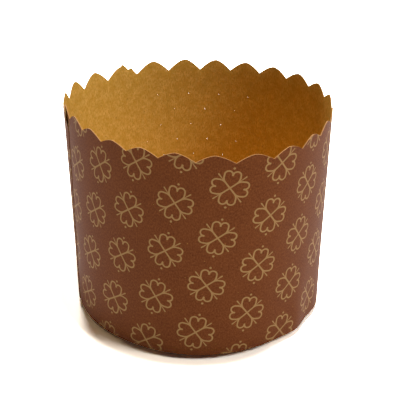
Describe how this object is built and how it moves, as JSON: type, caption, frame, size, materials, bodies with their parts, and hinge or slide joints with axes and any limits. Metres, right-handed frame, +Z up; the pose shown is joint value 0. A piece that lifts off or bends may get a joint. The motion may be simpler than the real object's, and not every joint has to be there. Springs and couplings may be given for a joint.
{
  "type": "panettone paper mold",
  "caption": "Tall round baking mold of printed kraft board with a scalloped rim, a glued side lap, a turned-in tucked foot and a fluted card base.",
  "frame": {"origin": "on the table under the middle of the mold, at the bottom of its bounding box", "axes": "+Z up through the open top, -Y towards the side the picture shows, the glued lap on the -X side"},
  "size_m": [0.1089, 0.1085, 0.0892],
  "materials": {
    "printed_board": "satin",
    "kraft_card": "matte"
  },
  "bodies": {
    "root": {"side_wall": "printed_board", "base_disc": "kraft_card"}
  },
  "joints": []
}
